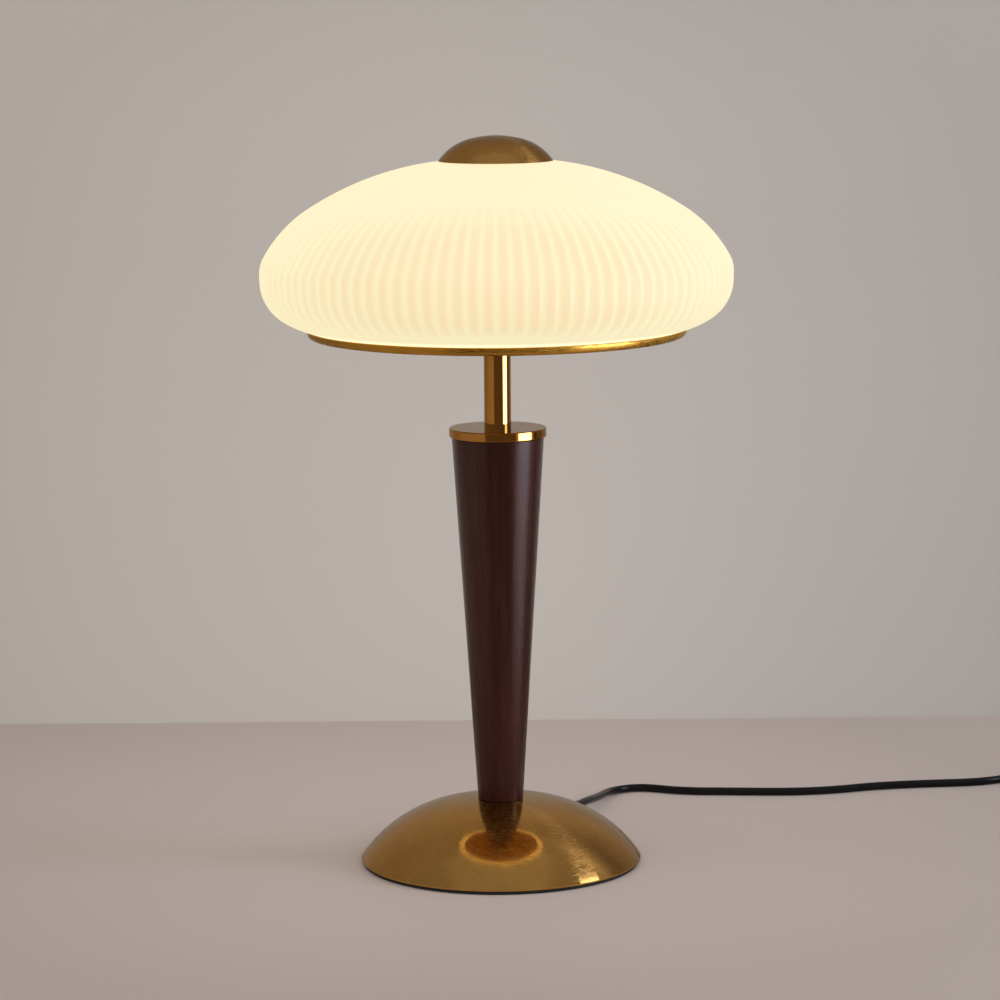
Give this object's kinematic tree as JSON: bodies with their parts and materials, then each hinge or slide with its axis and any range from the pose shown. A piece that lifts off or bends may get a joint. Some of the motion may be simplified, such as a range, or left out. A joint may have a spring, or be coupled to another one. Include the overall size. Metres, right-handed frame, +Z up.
{
  "type": "table lamp",
  "caption": "Table lamp with a pleated opal glass mushroom shade on a brass pan, tapered dark wood column, domed brass base and a corded in-line switch.",
  "frame": {"origin": "centre of the base pad underside, on the table", "axes": "+Z up along the column axis, +X to the right of the picture, +Y away from the camera"},
  "size_m": [0.6275, 0.356, 0.4369],
  "materials": {
    "satin_brass": "satin brushed, lacquered",
    "polished_brass": "polished, lacquered",
    "dark_wood": "dark stain, satin lacquer",
    "opal_glass": "opal, pleated, lit from inside",
    "black_foam": "matte foam",
    "black_rubber": "satin moulded",
    "black_cord": "satin sheath",
    "cast_iron": "rough casting",
    "zinc_steel": "zinc plated",
    "contact_brass": "bare",
    "nickel": "nickel plated",
    "holder_white": "moulded",
    "bulb_opal": "opal diffuser, lit",
    "white_nylon": "moulded",
    "white_wire": "insulation",
    "clear_silicone": "translucent",
    "black_plastic": "fine texture",
    "black_gloss": "gloss",
    "black_tie": "woven hook and loop"
  },
  "bodies": {
    "lamp": {"base_pad": "black_foam", "base_shell": "satin_brass", "base_weight": "cast_iron", "base_washer": "zinc_steel", "base_nut": "zinc_steel", "cord_bush": "black_rubber", "threaded_pipe": "zinc_steel", "column": "dark_wood", "collar": "polished_brass", "stem_tube": "polished_brass", "pan": "polished_brass", "pan_washer": "zinc_steel", "pan_nut": "zinc_steel", "lamp_bracket": "zinc_steel", "holder_nipples": "zinc_steel", "nipple_nuts": "zinc_steel", "holder_contacts": "contact_brass", "coupler": "contact_brass", "terminal_block": "white_nylon", "terminal_screws": "contact_brass", "inner_cord": "black_cord", "lamp_leads": "white_wire", "seat_ring": "clear_silicone", "top_rod": "zinc_steel", "cord_lead": "black_cord", "switch_bottom": "black_plastic", "switch_top": "black_plastic", "switch_screws": "zinc_steel", "switch_terminals": "contact_brass", "cord_link": "black_cord", "cord_coil": "black_cord", "cord_tie": "black_tie", "cord_tail": "black_cord", "plug_body": "black_plastic", "plug_pins": "nickel", "lampholder_1": "holder_white", "lampholder_2": "holder_white", "lampholder_3": "holder_white"},
    "shade": {"shade": "opal_glass", "top_gasket": "clear_silicone"},
    "cap": {"cap": "satin_brass", "cap_hub": "contact_brass"},
    "rocker": {"switch_rocker": "black_gloss"},
    "bulb_1": {"bulb_cap_1": "nickel", "bulb_globe_1": "bulb_opal"},
    "bulb_2": {"bulb_cap_2": "nickel", "bulb_globe_2": "bulb_opal"},
    "bulb_3": {"bulb_cap_3": "nickel", "bulb_globe_3": "bulb_opal"}
  },
  "joints": [
    {"name": "shade_lift", "type": "slide", "parent": "lamp", "child": "shade", "axis": [0, 0, 1], "range_m": [0, 0.12]},
    {"name": "cap_turn", "type": "hinge", "parent": "shade", "child": "cap", "pos_m": [0, 0, 0.43], "axis": [0, 0, 1], "continuous": true},
    {"name": "rocker_tilt", "type": "hinge", "parent": "lamp", "child": "rocker", "pos_m": [0.407, 0.203, 0.014], "axis": [0, 1, 0], "range_deg": [-14, 0]},
    {"name": "bulb_turn_1", "type": "hinge", "parent": "lamp", "child": "bulb_1", "pos_m": [0, 0.052, 0.36], "axis": [0, 0, 1], "continuous": true},
    {"name": "bulb_turn_2", "type": "hinge", "parent": "lamp", "child": "bulb_2", "pos_m": [-0.04503, -0.026, 0.36], "axis": [0, 0, 1], "continuous": true},
    {"name": "bulb_turn_3", "type": "hinge", "parent": "lamp", "child": "bulb_3", "pos_m": [0.04503, -0.026, 0.36], "axis": [0, 0, 1], "continuous": true}
  ]
}
